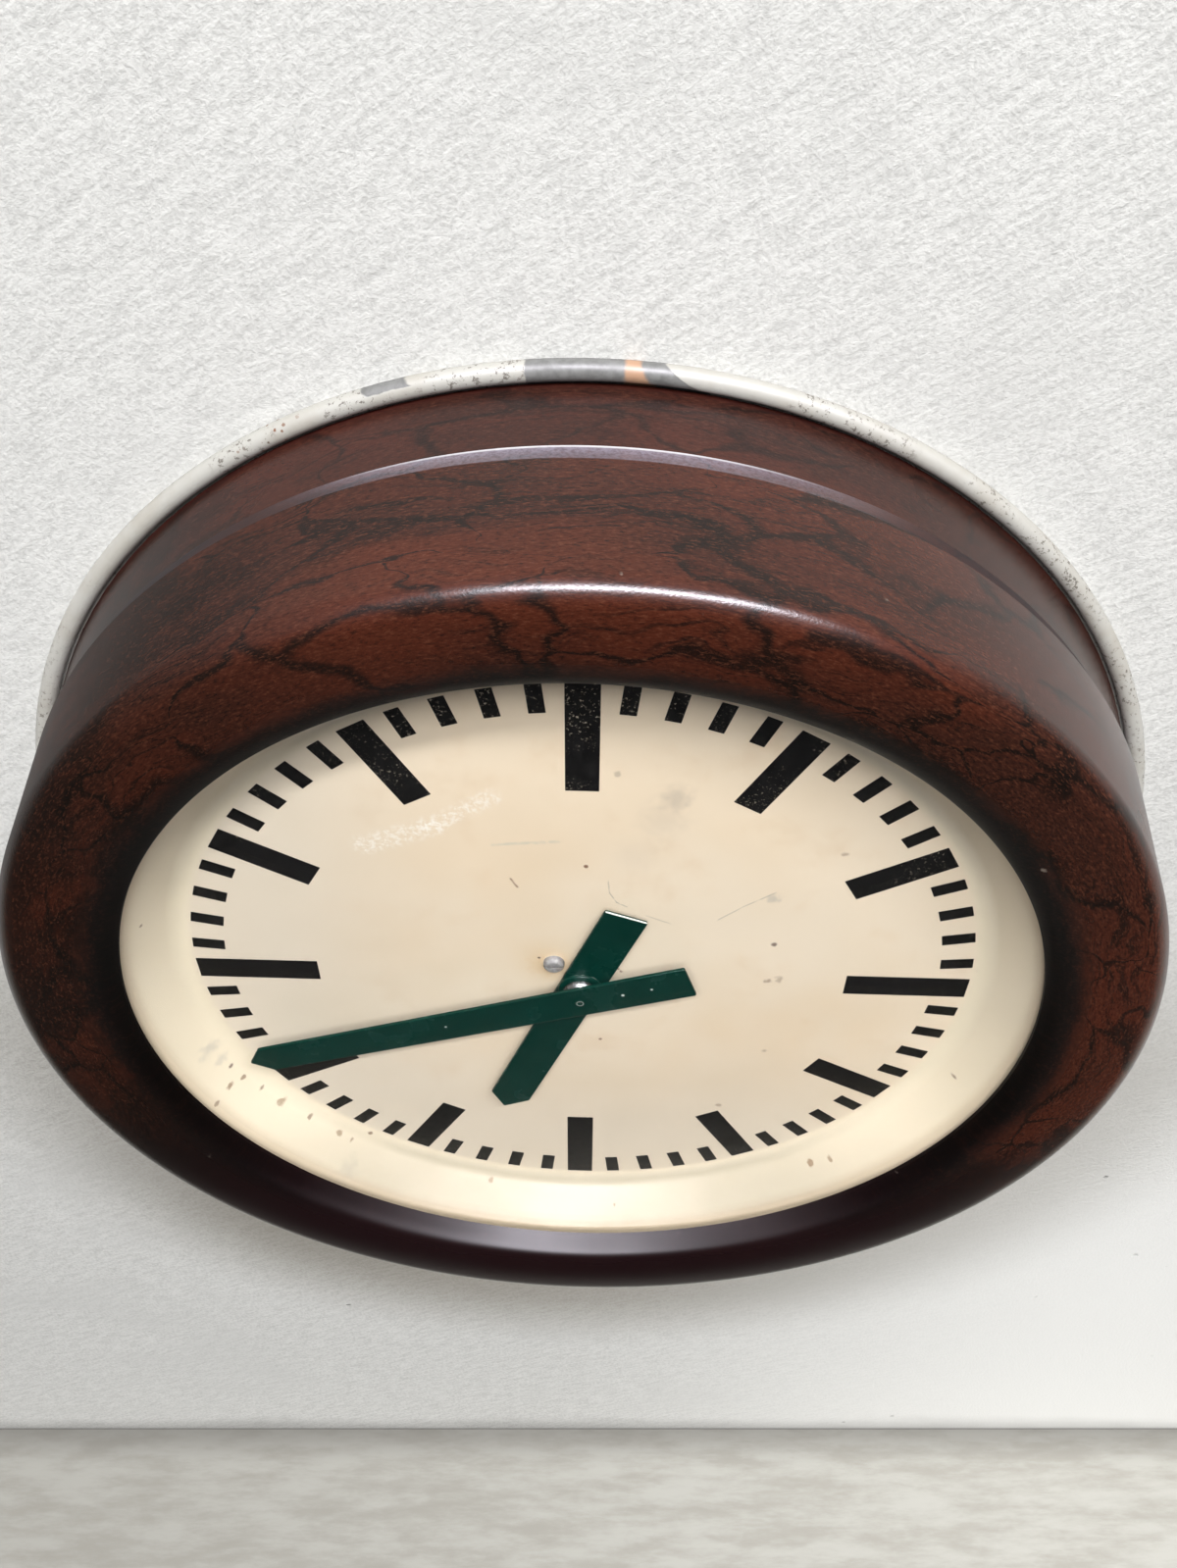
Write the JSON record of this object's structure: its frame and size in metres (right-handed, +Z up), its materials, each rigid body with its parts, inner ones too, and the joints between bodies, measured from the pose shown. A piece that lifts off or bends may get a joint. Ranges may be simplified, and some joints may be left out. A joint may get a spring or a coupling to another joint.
{
  "type": "wall clock",
  "caption": "Round factory wall clock: marbled moulded case on a steel wall plate, cream dished dial with bar marks, green strip hands on a geared slave movement.",
  "frame": {"origin": "on the hand axis, at the plane of the wall", "axes": "+X to three o'clock, +Z up to twelve o'clock, the dial faces -Y and the wall plate's back faces +Y"},
  "size_m": [0.3314, 0.072, 0.3314],
  "materials": {
    "bakelite": "marbled red-brown bakelite, glossy with fine moulding grain",
    "plate_paint": "old off-white paint on pressed steel, chipped and rust-specked",
    "dial_enamel": "aged cream enamel with black hour and minute marks",
    "hand_green": "dark green gloss paint, worn at the edges",
    "clear_glass": "clear flat glass",
    "seal": "grey rubber seal",
    "black_rubber": "black rubber",
    "steel": "bright steel",
    "zinc_steel": "zinc-plated steel",
    "brass": "turned and stamped brass",
    "iron": "soft iron, oiled",
    "magnet": "dark ferrite magnet",
    "former": "pressed brown fibre board",
    "winding": "varnished copper winding under a lacquered wrap",
    "lead_cover": "red insulated wire",
    "block_bakelite": "black bakelite"
  },
  "bodies": {
    "case": {"wall_plate": "plate_paint", "cable_grommet": "black_rubber", "hanging_hooks": "zinc_steel", "lock_lug": "zinc_steel", "plate_rivets": "steel", "lock_screw": "zinc_steel", "rear_case": "bakelite", "bezel": "bakelite", "bezel_screws": "zinc_steel", "glass": "clear_glass", "glass_gasket": "seal", "dial": "dial_enamel", "dial_screws": "steel", "dial_posts": "brass", "dial_clips": "zinc_steel", "clip_screws": "zinc_steel", "front_plate": "brass", "rear_plate": "brass", "plate_pillars": "steel", "front_plate_screws": "steel", "rear_plate_screws": "steel", "bearing_bushes": "brass", "centre_bush": "brass", "motion_stud": "steel", "stud_clip": "steel", "pole_pieces": "iron", "coil_core": "iron", "core_screws": "steel", "coil_former": "former", "coil_winding": "winding", "coil_leads": "lead_cover", "terminal_block": "block_bakelite", "terminal_screws": "brass", "block_screw": "steel"},
    "minute": {"centre_arbor": "steel", "centre_wheel": "brass", "cannon_pinion": "steel", "minute_hand": "hand_green", "minute_boss": "steel"},
    "hour": {"hour_wheel": "brass", "hour_pipe": "brass", "hour_hand": "hand_green", "hour_collet": "brass", "hour_washer": "hand_green"},
    "motion": {"motion_wheel": "brass", "motion_pinion": "steel"},
    "intermediate": {"intermediate_arbor": "steel", "intermediate_pinion": "steel", "intermediate_wheel": "brass"},
    "rotor": {"rotor_arbor": "steel", "rotor_pinion": "steel", "rotor_magnet": "magnet"}
  },
  "joints": [
    {"name": "minute_turn", "type": "hinge", "parent": "case", "child": "minute", "pos_m": [0, 0, 0], "axis": [0, 1, 0], "continuous": true},
    {"name": "hour_turn", "type": "hinge", "parent": "case", "child": "hour", "pos_m": [0, 0, 0], "axis": [0, 1, 0], "continuous": true},
    {"name": "motion_turn", "type": "hinge", "parent": "case", "child": "motion", "pos_m": [0, 0, 0.012], "axis": [0, 1, 0], "continuous": true},
    {"name": "intermediate_turn", "type": "hinge", "parent": "case", "child": "intermediate", "pos_m": [0, 0, -0.018], "axis": [0, 1, 0], "continuous": true},
    {"name": "rotor_turn", "type": "hinge", "parent": "case", "child": "rotor", "pos_m": [0, 0, -0.0355], "axis": [0, 1, 0], "continuous": true}
  ],
  "couplings": [
    {"joint": "hour_turn", "follows": "minute_turn", "ratio": 0.083333},
    {"joint": "motion_turn", "follows": "minute_turn", "ratio": -0.33333},
    {"joint": "intermediate_turn", "follows": "minute_turn", "ratio": -5},
    {"joint": "rotor_turn", "follows": "minute_turn", "ratio": 30}
  ]
}
